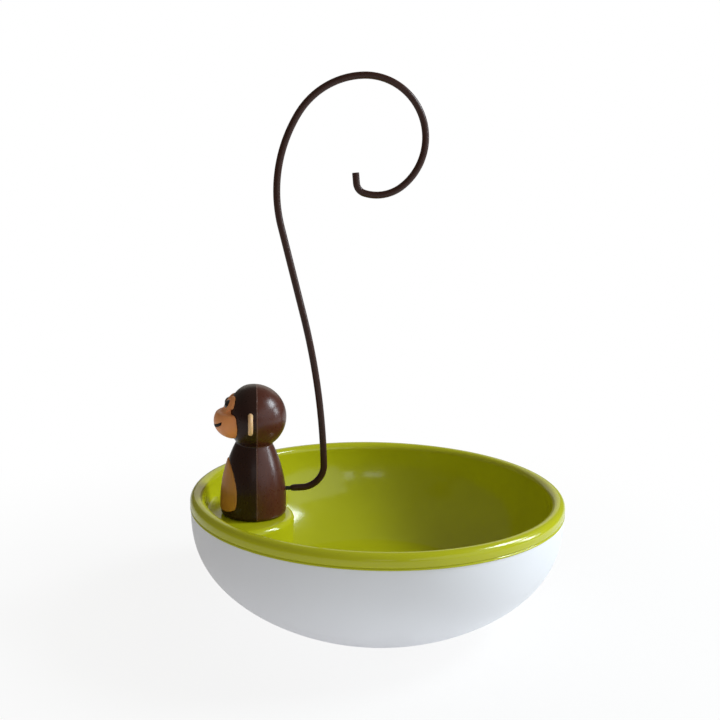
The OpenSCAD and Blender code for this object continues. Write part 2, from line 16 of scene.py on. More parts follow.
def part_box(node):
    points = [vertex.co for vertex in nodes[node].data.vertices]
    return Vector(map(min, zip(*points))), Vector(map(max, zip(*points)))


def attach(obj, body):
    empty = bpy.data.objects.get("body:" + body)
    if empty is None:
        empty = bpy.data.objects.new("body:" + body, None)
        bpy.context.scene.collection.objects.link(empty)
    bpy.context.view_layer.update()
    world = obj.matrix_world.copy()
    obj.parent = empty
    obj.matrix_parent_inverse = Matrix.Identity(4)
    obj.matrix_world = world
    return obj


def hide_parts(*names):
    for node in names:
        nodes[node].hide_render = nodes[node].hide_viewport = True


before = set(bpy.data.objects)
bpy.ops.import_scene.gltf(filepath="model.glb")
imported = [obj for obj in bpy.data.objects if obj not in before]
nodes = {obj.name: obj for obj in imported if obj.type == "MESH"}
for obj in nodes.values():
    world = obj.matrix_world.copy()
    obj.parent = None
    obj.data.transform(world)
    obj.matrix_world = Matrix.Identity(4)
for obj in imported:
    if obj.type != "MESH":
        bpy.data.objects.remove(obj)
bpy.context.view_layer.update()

MM = 0.001


# Sizes

def top_of(node):
    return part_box(node)[1].z / MM


RIM_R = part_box("inner_bowl")[1].x / MM
RIM_TOP = top_of("inner_bowl")
OVERALL_H = top_of("tail_sleeve")

# Bowl
FOOT_R = 55
FOOT_RING_W = 6
FOOT_RECESS = 1.2
OUTER_WALL = 2.4
LINER_WALL = 2.2
FLOOR_R = 80
FLOOR_H = 22
FLOOR_BLEND = 4
BEAD_R = 4.8
LIP_H = 4.9
LIP_STEP = 0.5
SHADOW_LINE = 0.6
SHADOW_UP = 1.4
TONGUE_H = 3.2
TONGUE_W = 1.7
TONGUE_GAP = 0.3
CURVE_SPREAD = 1.79
CURVE_RISE = 0.77
BEAD_Z = RIM_TOP - BEAD_R
SEAT_Z = BEAD_Z - LIP_H
MOUTH_R = RIM_R - 2 * BEAD_R
WALL_ARC_R = ((MOUTH_R - FLOOR_R) ** 2 + (BEAD_Z - FLOOR_H) ** 2) / (2 * (MOUTH_R - FLOOR_R))
EDGE_SOFT = 0.5
# Roundings of the lip's corners, from the bead down over the shadow line and up inside
LIP_ROUNDS = [0, 0.25, 0.15, 0.25, 0.3, 0.3, 0]

# Ledge
LEDGE_R = 42
LEDGE_X = -(RIM_R - 29.5)
LEDGE_H = 76
LEDGE_EDGE_R = 4
LEDGE_FILLET = 3

# Figure, about its own axis, standing on z = 0 and looking towards -X
FIGURE_X = -(RIM_R - 43.5)
BODY_R = 22.5
BODY_FOOT_H = 8
BODY_EDGE_R = 3
FLANK_R = 95
HEAD_R = 22.3
HEAD_H = 68.5
BROW_R = 31
BROW_FLAT = 4.7
BROW_BACK = BROW_R - (HEAD_R - BROW_FLAT)
NECK_FILLET = 0.7
SKIN = 2
FLANGE_T = 3
PLUG_HOLE_R = 17
SEAM_X = 2
SEAM_GAP = 0.06
SEAM_ROUND = 0.25

# Face
MASK_R = 21.5
LOBE_R = 7.3
LOBE_SIDE = 5.1
LOBE_UP = 8.1
WAIST_R = 3.6
WAIST_SIDE = 13.2
WAIST_UP = 4.4
BROW_HALF_W = 12.2
MUZZLE_DEPTH = 11
MUZZLE_RISE = 6.5
MUZZLE_EDGE_R = 1.2
MUZZLE_DOWN = 2.3
MUZZLE_REACH = 27.2
MUZZLE_SWEEP_R = 12
MUZZLE_HALF_TURN = math.radians(36)
MUZZLE_CENTRE = MUZZLE_REACH - MUZZLE_DEPTH - MUZZLE_SWEEP_R
MOUTH_DOWN = 5.7
MOUTH_HALF_W = 14.5
MOUTH_W = 1.6
MOUTH_SMILE = math.radians(38)
MOUTH_DEPTH = 0.8
MOUTH_PROUD = 0.12
PLATE_GAP = 0.04
PLATE_ROUND = 0.8
MUZZLE_BLEND = 3
BROW_BLEND = 1
EYE_SIDE = 5.2
EYE_UP = 10.3
EYE_HOLE_R = 1.45
EYE_HOLE_DEPTH = 1.75
EAR_R = 7.4
EAR_T = 3.4
EAR_FORWARD = 2.6
EAR_DOWN = 0.4
EAR_SIDE = math.sqrt(HEAD_R ** 2 - EAR_FORWARD ** 2 - EAR_DOWN ** 2)
EAR_DISH_R = 22
EAR_DISH_DEPTH = 0.8
BELLY_HALF_W = 18.9
BELLY_MID = 13
BELLY_TOP = 39.5
BELLY_BOTTOM = 4.8
BELLY_PROUD = 0.6
BELLY_SEAT = 1
BELLY_TOP_POWER = 2
BELLY_LOW_POWER = 4

# Tail: each bend is a radius and a turn in degrees, and a turn to the left is positive
ROD_D = 2.8
SLEEVE_D = 4.7
SLEEVE_FIT = 0.05
BARE_LEN = 3
TAPER_LEN = 3
TAPER_EDGE = 0.25
TAPER_POWER = 0.8
TIP_CAP = 1.2
TIP_ROUND = 0.6
ROD_END_GAP = 0.1
ROOT_H = 17.1
ROOT_SLOPE = 2.5
ROOT_RUN = 11.2
ROD_GRIP = 27
TIP_RUN = 7
STALK_BENDS = [(15.5, 89.5), (488, 12.5)]
HOOK_BENDS = [(96, -45.5), (53, -56.5), (40, -143.5), (28, -55.5), (7.5, -68)]

# Fineness of the meshes: sizes of cells and steps, and counts of steps around
SHELL_CELL = 0.75
SEAM_CELL = 0.16
SEAM_REACH = 1.2
PLATE_CELL = 0.42
EAR_CELL = 0.35
MOUTH_CELL = 0.22
SLEEVE_STEP = 0.9
SLEEVE_TIP_STEP = 0.05
ROD_STEP = 1
LAST_STEP = 0.5
BEND_STEP = 0.8
SHELL_AROUND = 320
LINER_AROUND = 440
SLEEVE_AROUND = 28
ROD_AROUND = 20
# Points closer together than this become one
MERGE = 0.002
LINER_MERGE = 0.01


# Shapes given by their distance: negative inside, positive outside. p holds points in its last axis

def meet(a, b, r):
    """What lies in both shapes, with the edge between them rounded to a radius."""
    corner = np.hypot(np.maximum(a + r, 0), np.maximum(b + r, 0))
    return np.minimum(np.maximum(a, b), -r) + corner


def join(a, b, r):
    """What lies in either shape, with the corner between them filled to a radius."""
    return -meet(-a, -b, r)


def cut(a, b, r):
    """What lies in the first shape and not in the second."""
    return meet(a, -b, r)


def ball(p, centre, r):
    return np.linalg.norm(p - np.array(centre), axis=-1) - r


def oblong(u, v, half_u, half_v, r):
    """A rectangle about the origin with rounded corners, from its two coordinates."""
    a = np.abs(u) - half_u + r
    b = np.abs(v) - half_v + r
    outside = np.hypot(np.maximum(a, 0), np.maximum(b, 0))
    return outside + np.minimum(np.maximum(a, b), 0) - r


def body_side(p):
    """Distance from the body's flank: straight at the foot, then one long arc up to the neck."""
    out = np.hypot(p[..., 0], p[..., 1])
    up = np.maximum(p[..., 2] - BODY_FOOT_H, 0)
    return np.hypot(out - (BODY_R - FLANK_R), up) - FLANK_R


def head(p):
    brow = ball(p, (BROW_BACK, 0, HEAD_H), BROW_R)
    return meet(ball(p, (0, 0, HEAD_H), HEAD_R), brow, BODY_EDGE_R)


def figure(p):
    body = meet(body_side(p), -p[..., 2], BODY_EDGE_R)
    body = np.maximum(body, p[..., 2] - HEAD_H)
    return join(body, head(p), NECK_FILLET)


def hollow_figure(p):
    """The figure's wall, with the hole for the base in its bottom flange."""
    outside = figure(p)
    room = np.maximum(outside + SKIN, FLANGE_T - p[..., 2])
    hole = np.maximum(np.hypot(p[..., 0], p[..., 1]) - PLUG_HOLE_R, p[..., 2] - FLANGE_T - SKIN)
    return cut(cut(outside, room, EDGE_SOFT), hole, EDGE_SOFT)


def belly_outline(p):
    """Distance from the outline, seen from the front and carried in towards the figure's axis."""
    high = np.maximum(p[..., 2] - BODY_FOOT_H, 0)
    body_r = BODY_R - FLANK_R + np.sqrt(FLANK_R ** 2 - high ** 2)
    side = np.abs(p[..., 1]) * body_r / np.maximum(np.hypot(p[..., 0], p[..., 1]), 1)
    up = p[..., 2] - BELLY_MID
    upper = ((side / BELLY_HALF_W) ** BELLY_TOP_POWER
             + (np.abs(up) / (BELLY_TOP - BELLY_MID)) ** BELLY_TOP_POWER) ** (1 / BELLY_TOP_POWER)
    lower = ((side / BELLY_HALF_W) ** BELLY_LOW_POWER
             + (np.abs(up) / (BELLY_MID - BELLY_BOTTOM)) ** BELLY_LOW_POWER) ** (1 / BELLY_LOW_POWER)
    share = np.maximum(np.where(up > 0, upper, lower), 0.01)
    return np.hypot(side, up) * (1 - 1 / share)


def belly_plate(p):
    outline = np.maximum(belly_outline(p), p[..., 0])
    plate = meet(outline, body_side(p) - BELLY_PROUD, PLATE_ROUND)
    return cut(plate, body_side(p) + BELLY_SEAT, EDGE_SOFT / 2)


def belly_seat(p):
    """The recess in the front shell that the belly plate sits in."""
    outline = np.maximum(belly_outline(p) - PLATE_GAP, p[..., 0])
    return np.maximum(outline, -(body_side(p) + BELLY_SEAT + PLATE_GAP))


def ear(p, side):
    """A disc with a rounded rim against the head, hollowed a little on the side that faces forwards."""
    q = p - np.array((-EAR_FORWARD, side * EAR_SIDE, HEAD_H - EAR_DOWN))
    disc = oblong(np.hypot(q[..., 1], q[..., 2]), q[..., 0], EAR_R, EAR_T / 2, EAR_T / 2 - PLATE_GAP)
    dish = ball(q, (-EAR_T / 2 - EAR_DISH_R + EAR_DISH_DEPTH, 0, 0), EAR_DISH_R)
    return cut(cut(disc, dish, EDGE_SOFT), head(p) - PLATE_GAP, EDGE_SOFT / 4)


def muzzle_place(p):
    """How far out and up a point lies from the arc across the face that the muzzle follows."""
    x = -p[..., 0] - MUZZLE_CENTRE
    y = p[..., 1]
    turn = np.arctan2(y, x)
    end = np.clip(turn, -MUZZLE_HALF_TURN, MUZZLE_HALF_TURN)
    beside = np.hypot(x - MUZZLE_SWEEP_R * np.cos(end), y - MUZZLE_SWEEP_R * np.sin(end))
    inside = (np.hypot(x, y) < MUZZLE_SWEEP_R) & (end == turn)
    return np.where(inside, 0, beside), p[..., 2] - HEAD_H + MUZZLE_DOWN


def muzzle(p):
    """The muzzle is round in section, with a flat top."""
    out, up = muzzle_place(p)
    return meet(np.hypot(out, up) - MUZZLE_DEPTH, up - MUZZLE_RISE, MUZZLE_EDGE_R)


def brow(p):
    """The plate round the eyes: two lobes, and a band with a waist that leads down to the muzzle."""
    side = np.abs(p[..., 1])
    up = p[..., 2] - HEAD_H
    lobe = np.hypot(side - LOBE_SIDE, up - LOBE_UP) - LOBE_R
    band_mid = (LOBE_UP - MUZZLE_DOWN) / 2
    band = oblong(side, up - band_mid, BROW_HALF_W, (LOBE_UP + MUZZLE_DOWN) / 2, EDGE_SOFT)
    waist = np.hypot(side - WAIST_SIDE, up - WAIST_UP) - WAIST_R
    outline = np.maximum(cut(join(lobe, band, BROW_BLEND), waist, BROW_BLEND), p[..., 0])
    return meet(ball(p, (0, 0, HEAD_H), MASK_R), outline, PLATE_ROUND)


def mouth(p, grow=0):
    """A strip let into the muzzle, which rises towards its corners."""
    away = p - np.array((-MUZZLE_REACH, 0, HEAD_H - MOUTH_DOWN))
    across = away[..., 2] * math.cos(MOUTH_SMILE) - away[..., 0] * math.sin(MOUTH_SMILE)
    band = oblong(away[..., 1], across, MOUTH_HALF_W + grow, MOUTH_W / 2 + grow, MOUTH_W / 2)
    out, up = muzzle_place(p)
    depth = np.hypot(out, up) - MUZZLE_DEPTH
    skin = np.maximum(depth - MOUTH_PROUD - grow, -depth - MOUTH_DEPTH - grow)
    return meet(np.maximum(band, p[..., 0] + MUZZLE_CENTRE), skin, EDGE_SOFT / 4)


def eye_axis(side):
    ahead = math.sqrt(MASK_R ** 2 - EYE_SIDE ** 2 - EYE_UP ** 2)
    return np.array((-ahead, side * EYE_SIDE, EYE_UP)) / MASK_R


def eye_hole(p, side):
    axis = eye_axis(side)
    q = p - np.array((0, 0, HEAD_H))
    along = q @ axis
    across = np.linalg.norm(q - along[..., None] * axis, axis=-1)
    return np.maximum(across - EYE_HOLE_R, MASK_R - EYE_HOLE_DEPTH - along)


def face_plate(p):
    plate = join(brow(p), muzzle(p), MUZZLE_BLEND)
    plate = cut(plate, mouth(p, PLATE_GAP), EDGE_SOFT / 2)
    for side in (-1, 1):
        plate = cut(plate, eye_hole(p, side), 0)
    return cut(plate, head(p) - PLATE_GAP, EDGE_SOFT / 4)


def tail_hole(p):
    """The hole in the rear shell that the rod leaves through."""
    slope = math.radians(ROOT_SLOPE)
    q = p - np.array((BODY_R, 0, ROOT_H))
    off = q[..., 2] * math.cos(slope) - q[..., 0] * math.sin(slope)
    return np.maximum(np.hypot(q[..., 1], off) - ROD_D / 2 - SLEEVE_FIT, -p[..., 0])


def front_shell(p):
    shell = meet(hollow_figure(p), p[..., 0] - SEAM_X + SEAM_GAP / 2, SEAM_ROUND)
    return np.maximum(shell, -belly_seat(p))


def rear_shell(p):
    shell = meet(hollow_figure(p), SEAM_X + SEAM_GAP / 2 - p[..., 0], SEAM_ROUND)
    return cut(shell, tail_hole(p), EDGE_SOFT / 2)


# Meshes from distances

def planes(low, high, cell, fine_at=None, fine_cell=None, fine_reach=None):
    """Grid planes from low to high, closer together near one place if it is given."""
    if fine_at is None:
        return np.linspace(low, high, max(int((high - low) / cell), 2))
    left = planes(low, fine_at - fine_reach, cell) if low < fine_at - fine_reach else np.array([low])
    right = planes(fine_at + fine_reach, high, cell) if high > fine_at + fine_reach else np.array([high])
    start = max(left[-1], low)
    end = min(right[0], high)
    return np.unique(np.concatenate([left, planes(start, end, fine_cell), right]))


def net(distance, xs, ys, zs):
    """Points and quads of the closed surface where the distance is zero."""
    grid = np.stack(np.meshgrid(xs, ys, zs, indexing="ij"), -1)
    value = distance(grid)
    cells = tuple(n - 1 for n in value.shape)
    total = np.zeros(cells + (3,))
    count = np.zeros(cells, int)
    crossings = []
    for axis in range(3):
        u, v = (axis + 1) % 3, (axis + 2) % 3
        first = [slice(None)] * 3
        second = [slice(None)] * 3
        first[axis] = slice(None, -1)
        second[axis] = slice(1, None)
        a, b = value[tuple(first)], value[tuple(second)]
        crossed = (a < 0) != (b < 0)
        share = np.where(crossed, a / np.where(crossed, a - b, 1), 0)[..., None]
        point = (grid[tuple(first)] * (1 - share) + grid[tuple(second)] * share) * crossed[..., None]
        for i in (0, 1):
            for j in (0, 1):
                window = [slice(None)] * 3
                window[u] = slice(i, i + cells[u])
                window[v] = slice(j, j + cells[v])
                total += point[tuple(window)]
                count += crossed[tuple(window)]
        crossings.append((axis, u, v, np.argwhere(crossed), a[crossed] < 0))
    active = count > 0
    number = np.full(cells, -1)
    number[active] = np.arange(active.sum())
    points = total[active] / count[active][:, None]
    quads = []
    for axis, u, v, at, rising in crossings:
        corners = []
        for i, j in ((-1, -1), (0, -1), (0, 0), (-1, 0)):
            cell = at.copy()
            cell[:, u] += i
            cell[:, v] += j
            corners.append(number[tuple(cell.T)])
        quad = np.stack(corners, -1)
        quads.append(np.where(rising[:, None], quad, quad[:, ::-1]))
    return points, np.concatenate(quads)


def settled(distance, points, rounds, reach=0.02, least_slope=0.2, furthest=0.3):
    """The points moved onto the surface, by no more than the furthest step in each round."""
    steps = np.eye(3) * reach
    for _ in range(rounds):
        slope = np.stack([distance(points + s) - distance(points - s) for s in steps], -1) / (2 * reach)
        size = np.maximum((slope ** 2).sum(-1), least_slope)
        move = (distance(points) / size)[:, None] * slope
        points = points - np.clip(move, -furthest, furthest)
    return points


def carved(distance, xs, ys, zs, rounds=3, passes=2):
    """A closed mesh of a shape given by its distance, evened out along its surface."""
    points, quads = net(distance, xs, ys, zs)
    points = settled(distance, points, rounds)
    neighbours = np.zeros(len(points))
    for k in range(4):
        np.add.at(neighbours, quads[:, k], 2)
    for _ in range(passes):
        total = np.zeros_like(points)
        for k in range(4):
            np.add.at(total, quads[:, k], points[quads[:, k - 1]] + points[quads[:, (k + 1) % 4]])
        points = (points + total / neighbours[:, None]) / 2
        points = settled(distance, points, rounds)
    return points, quads


# Making pieces

def link(name, data):
    piece = bpy.data.objects.new(name, data)
    bpy.context.scene.collection.objects.link(piece)
    return piece


def mesh_of(name, points, faces):
    mesh = bpy.data.meshes.new(name)
    mesh.from_pydata((np.asarray(points) * MM).tolist(), [], np.asarray(faces).tolist())
    mesh.validate()
    return mesh


def tidy_mesh(mesh, merge=MERGE, sharp=40):
    """Merges doubled points, turns the faces outwards and smooths all but the sharp edges."""
    work = bmesh.new()
    work.from_mesh(mesh)
    bmesh.ops.remove_doubles(work, verts=work.verts, dist=merge * MM)
    bmesh.ops.dissolve_degenerate(work, edges=work.edges, dist=merge * MM)
    bmesh.ops.recalc_face_normals(work, faces=work.faces)
    work.to_mesh(mesh)
    work.free()
    mesh.shade_smooth()
    mesh.set_sharp_from_angle(angle=math.radians(sharp))
    return mesh


def place(name, mesh, material, slot, *replaced):
    """Puts a finished piece in the scene in place of the plain ones that it stands for."""
    mesh.materials.clear()
    mesh.materials.append(material)
    piece = link(name, mesh)
    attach(piece, "root")
    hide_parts(*replaced)


def figure_piece(name, distance, box, cell, material, slot, node, fine=(None, None, None)):
    """A piece of the figure from its distance; box is its low and high corner about the figure's axis."""
    low, high = box
    xs = planes(low[0], high[0], cell, *fine)
    ys = planes(low[1], high[1], cell)
    zs = planes(low[2], high[2], cell)
    points, quads = carved(distance, xs, ys, zs)
    points = points + np.array((FIGURE_X, 0, LEDGE_H))
    mesh = tidy_mesh(mesh_of(name, points, quads), merge=MERGE / 2, sharp=50)
    place(name, mesh, material, slot, node)


# Nodes, for turned parts, finishes and light

def add(tree, kind, inputs=None, **settings):
    """A node with its settings and its inputs, each of them a constant or another node's output."""
    made = tree.nodes.new(kind)
    for key, value in settings.items():
        setattr(made, key, value)
    for key, value in (inputs or {}).items():
        if isinstance(value, bpy.types.NodeSocket):
            tree.links.new(value, made.inputs[key])
        else:
            made.inputs[key].default_value = value
    return made


def maths(tree, operation, *values):
    return add(tree, "ShaderNodeMath", dict(enumerate(values)), operation=operation).outputs[0]


def vector_maths(tree, operation, inputs):
    return add(tree, "ShaderNodeVectorMath", inputs, operation=operation).outputs[0]


def mix_colour(tree, share, first, second):
    inputs = {"Factor": share, "A": first, "B": second}
    return add(tree, "ShaderNodeMix", inputs, data_type="RGBA").outputs["Result"]


# Turned parts: a section carried round a straight or bent path

def turned_tree():
    """Each point of the section is a radius in X and a distance along the path in Z."""
    tree = bpy.data.node_groups.new("turned along a path", "GeometryNodeTree")
    for name, kind in (("Section", "Geometry"), ("Path", "Object"), ("Steps around", "Int"),
                       ("Finish", "Material")):
        tree.interface.new_socket(name, in_out="INPUT", socket_type="NodeSocket" + kind)
    tree.interface.new_socket("Piece", in_out="OUTPUT", socket_type="NodeSocketGeometry")
    given = add(tree, "NodeGroupInput").outputs
    result = add(tree, "NodeGroupOutput")

    # A grid with a column for each step around and a row for each point of the section
    size = add(tree, "GeometryNodeAttributeDomainSize", {0: given["Section"]}, component="MESH")
    rows = size.outputs["Point Count"]
    columns = maths(tree, "ADD", given["Steps around"], 1)
    grid = add(tree, "GeometryNodeMeshGrid", {"Vertices X": columns, "Vertices Y": rows})
    index = add(tree, "GeometryNodeInputIndex").outputs[0]
    row = maths(tree, "MODULO", index, rows)
    column = maths(tree, "FLOOR", maths(tree, "DIVIDE", index, rows))
    angle = maths(tree, "MULTIPLY", maths(tree, "DIVIDE", column, given["Steps around"]), 2 * math.pi)

    # Each of its points is that far out from the path, at that place along it
    here = add(tree, "GeometryNodeInputPosition").outputs[0]
    inputs = {"Geometry": given["Section"], "Value": here, "Index": row}
    sample = add(tree, "GeometryNodeSampleIndex", inputs, data_type="FLOAT_VECTOR", domain="POINT")
    point = add(tree, "ShaderNodeSeparateXYZ", {0: sample.outputs["Value"]}).outputs
    path = add(tree, "GeometryNodeObjectInfo", {"Object": given["Path"]})
    line = add(tree, "GeometryNodeMeshToCurve", {"Mesh": path.outputs["Geometry"]})
    along = add(tree, "GeometryNodeSampleCurve", {"Curves": line.outputs[0], "Length": point["Z"]},
                mode="LENGTH", use_all_curves=False).outputs
    across = vector_maths(tree, "CROSS_PRODUCT", {0: along["Tangent"], 1: along["Normal"]})
    share_a = maths(tree, "MULTIPLY", point["X"], maths(tree, "COSINE", angle))
    share_b = maths(tree, "MULTIPLY", point["X"], maths(tree, "SINE", angle))
    out_a = vector_maths(tree, "SCALE", {0: along["Normal"], "Scale": share_a})
    out_b = vector_maths(tree, "SCALE", {0: across, "Scale": share_b})
    out = vector_maths(tree, "ADD", {0: out_a, 1: out_b})
    position = vector_maths(tree, "ADD", {0: along["Position"], 1: out})
    move = add(tree, "GeometryNodeSetPosition", {"Geometry": grid.outputs["Mesh"], "Position": position})
    merge = add(tree, "GeometryNodeMergeByDistance", {"Geometry": move.outputs[0], "Distance": MERGE * MM})
    realize = add(tree, "GeometryNodeRealizeInstances", {"Geometry": merge.outputs[0]})
    inputs = {"Geometry": realize.outputs[0], "Material": given["Finish"]}
    paint = add(tree, "GeometryNodeSetMaterial", inputs)
    tree.links.new(paint.outputs[0], result.inputs["Piece"])
    return tree


TURNED = turned_tree()


def polyline(name, points):
    edges = [(i, i + 1) for i in range(len(points) - 1)]
    mesh = bpy.data.meshes.new(name)
    mesh.from_pydata((np.asarray(points) * MM).tolist(), edges, [])
    return link(name, mesh)


def turned(name, section, path, steps, material):
    """The mesh of a section of (radius, distance) points carried round a path of points."""
    spine = polyline(name + " path", path)
    piece = polyline(name + " section", [(r, 0, z) for r, z in section])
    modifier = piece.modifiers.new("turned", "NODES")
    modifier.node_group = TURNED
    values = {"Path": spine, "Steps around": steps, "Finish": material}
    for item in TURNED.interface.items_tree:
        if item.in_out == "INPUT" and item.name in values:
            modifier[item.identifier] = values[item.name]
    bpy.context.view_layer.update()
    evaluated = piece.evaluated_get(bpy.context.evaluated_depsgraph_get())
    mesh = bpy.data.meshes.new_from_object(evaluated)
    mesh.name = name
    piece.modifiers.clear()
    for spare in (piece, spine):
        data = spare.data
        bpy.data.objects.remove(spare)
        bpy.data.meshes.remove(data)
    return tidy_mesh(mesh)


def rounded(points, radius, steps=5):
    """The same outline with its inner corners rounded; a radius of zero keeps a corner."""
    points = [np.array(p, float) for p in points]
    radii = radius if isinstance(radius, (list, tuple)) else [radius] * len(points)
    out = [points[0]]
    for before, corner, after, r in zip(points, points[1:], points[2:], radii[1:]):
        if r == 0:
            out.append(corner)
            continue
        start = corner + (before - corner) * min(r / np.linalg.norm(before - corner), 0.5)
        end = corner + (after - corner) * min(r / np.linalg.norm(after - corner), 0.5)
        for t in np.linspace(0, 1, steps):
            out.append((1 - t) ** 2 * start + 2 * t * (1 - t) * corner + t ** 2 * end)
    out.append(points[-1])
    return out


def arc(centre, r, start, end, steps):
    angles = np.radians(np.linspace(start, end, steps + 1))
    return [(centre[0] + r * math.cos(a), centre[1] + r * math.sin(a)) for a in angles]


# Bowl

def shell_curve(steps=96):
    """The outer bowl from its foot to the seat under the lip."""
    top_r = RIM_R - LIP_STEP
    t = np.linspace(0, math.pi / 2, steps + 1)
    spread = FOOT_R + (top_r - FOOT_R) * np.sin(t) ** CURVE_SPREAD
    rise = SEAT_Z * (1 - np.maximum(np.cos(t), 0) ** CURVE_RISE)
    return np.stack([spread, rise], -1)


def inward(points, distance):
    ahead = np.gradient(points, axis=0)
    ahead /= np.linalg.norm(ahead, axis=1)[:, None]
    return points + distance * np.stack([-ahead[:, 1], ahead[:, 0]], -1)


def outer_bowl_mesh(material):
    outside = shell_curve()
    tongue_r = RIM_R - LINER_WALL - TONGUE_GAP
    thick_z = SEAT_Z - 2 * TONGUE_H
    inside = inward(outside, OUTER_WALL)
    wall = [tuple(p) for p in inside[::-1] if FOOT_RECESS + OUTER_WALL < p[1] < thick_z]
    foot_end, top_start = 4, -3
    foot = rounded([
        (0, FOOT_RECESS), (FOOT_R - FOOT_RING_W, FOOT_RECESS), (FOOT_R - FOOT_RING_W, 0),
        tuple(outside[0]), tuple(outside[foot_end])
    ], [0, EDGE_SOFT, EDGE_SOFT, EDGE_SOFT, 0])
    top = rounded([
        tuple(outside[top_start]), tuple(outside[-1]), (tongue_r, SEAT_Z), (tongue_r, SEAT_Z + TONGUE_H),
        (tongue_r - TONGUE_W, SEAT_Z + TONGUE_H), (tongue_r - TONGUE_W, SEAT_Z), wall[0]
    ], [0, EDGE_SOFT, 0, EDGE_SOFT, EDGE_SOFT, EDGE_SOFT, 0])
    low = (wall[-1][0], FOOT_RECESS + OUTER_WALL)
    flank = [tuple(p) for p in outside[foot_end + 1:top_start]]
    section = foot + flank + top + wall[1:] + [low, (0, low[1])]
    return turned("outer_bowl", section, [(0, 0, 0), (0, 0, RIM_TOP)], SHELL_AROUND, material)


def bowl_height(r, inset):
    """Height of the inner bowl's surface, or of its back, at a distance from the axis."""
    floor = FLOOR_H - inset
    arc_r = WALL_ARC_R + inset
    out = np.clip(r - (MOUTH_R - WALL_ARC_R), 0, arc_r)
    wall = BEAD_Z - np.sqrt(arc_r ** 2 - out ** 2)
    blend = np.maximum(FLOOR_BLEND - np.abs(wall - floor), 0) / FLOOR_BLEND
    return np.maximum(wall, floor) + blend ** 2 * FLOOR_BLEND / 4


def ledge_section(t, inset):
    """A place on the ledge's outline: 0 to 1 is its deck, 1 to 2 its rounded edge, 2 to 3 its side."""
    r = LEDGE_R - inset
    top = LEDGE_H - inset
    edge = max(LEDGE_EDGE_R - inset, 1)
    bend = np.clip(t - 1, 0, 1) * math.pi / 2
    out = np.where(t < 1, t * (r - edge), r - edge + edge * np.sin(bend))
    down = edge * (1 - np.cos(bend)) + np.maximum(t - 2, 0) * (top - edge - FLOOR_H + inset)
    return out, top - down


def liner_rings(rays, inset, deck, edge, side, fillet, wall):
    """Rings of the inner bowl's surface, from the middle of the ledge to the mouth.

    Each ray leaves the ledge's axis and meets the mouth at its own angle about the bowl's axis.
    """
    theta = np.linspace(0, 2 * math.pi, rays, endpoint=False)
    mouth_r = MOUTH_R + inset
    target = np.stack([mouth_r * np.cos(theta) - LEDGE_X, mouth_r * np.sin(theta)], -1)
    reach = np.linalg.norm(target, axis=-1)
    heading = target / reach[:, None]

    def height(out):
        x = LEDGE_X + out * heading[:, 0]
        y = out * heading[:, 1]
        return bowl_height(np.hypot(x, y), inset)

    # Where each ray's outline leaves the ledge and joins the bowl
    ledge_samples, bowl_samples = 1500, 400
    fine = np.linspace(0, 3, ledge_samples)[:, None] * np.ones(rays)
    out, up = ledge_section(fine, inset)
    below = (height(np.minimum(out, reach)) >= up) | (out >= reach)
    first = np.argmax(below, axis=0)
    leave_out, leave_up = (v[first, np.arange(rays)] for v in (out, up))
    # The fillet starts this far up the ledge and ends this far out on the bowl
    length = np.linalg.norm(np.diff(np.stack([out, up], -1), axis=0), axis=-1)
    length = np.vstack([np.zeros(rays), np.cumsum(length, axis=0)])
    start_len = np.maximum(length[first, np.arange(rays)] - LEDGE_FILLET, 0)
    start_t = np.array([np.interp(start_len[j], length[:, j], fine[:, j]) for j in range(rays)])
    stops = np.concatenate([
        np.linspace(0, 1, deck, endpoint=False), np.linspace(1, 2, edge, endpoint=False),
        np.linspace(2, 3, side)
    ])[:, None] * np.ones(rays)
    stops = np.minimum(stops, start_t)
    ledge_out, ledge_up = ledge_section(stops, inset)
    # The bowl's own surface from there to the mouth, sampled more closely towards the mouth
    share = np.sqrt(np.linspace(0, 1, bowl_samples))[:, None]
    bowl_out = leave_out + (reach - leave_out) * share
    bowl_up = height(bowl_out)
    bowl = np.stack([bowl_out, np.zeros_like(bowl_out), bowl_up], -1)
    step = np.linalg.norm(np.diff(bowl, axis=0), axis=-1)
    run = np.vstack([np.zeros(rays), np.cumsum(step, axis=0)])
    soft = np.minimum(LEDGE_FILLET, run[-1] / 2)
    wall_line = np.zeros((wall, rays, 3))
    for j in range(rays):
        wanted = np.linspace(soft[j], run[-1, j], wall)
        for axis in (0, 2):
            wall_line[:, j, axis] = np.interp(wanted, run[:, j], bowl[:, j, axis])
    corner = np.stack([leave_out, leave_up], -1)
    begin = np.stack([ledge_out[-1], ledge_up[-1]], -1)
    finish = wall_line[0][:, [0, 2]]
    bend = []
    for t in np.linspace(0, 1, fillet + 2)[1:-1]:
        bend.append((1 - t) ** 2 * begin + 2 * t * (1 - t) * corner + t ** 2 * finish)
    bend = np.array(bend)
    outs = np.concatenate([ledge_out, bend[..., 0], wall_line[..., 0]])
    ups = np.concatenate([ledge_up, bend[..., 1], wall_line[..., 2]])
    return np.stack([LEDGE_X + outs * heading[:, 0], outs * heading[:, 1], ups], -1)


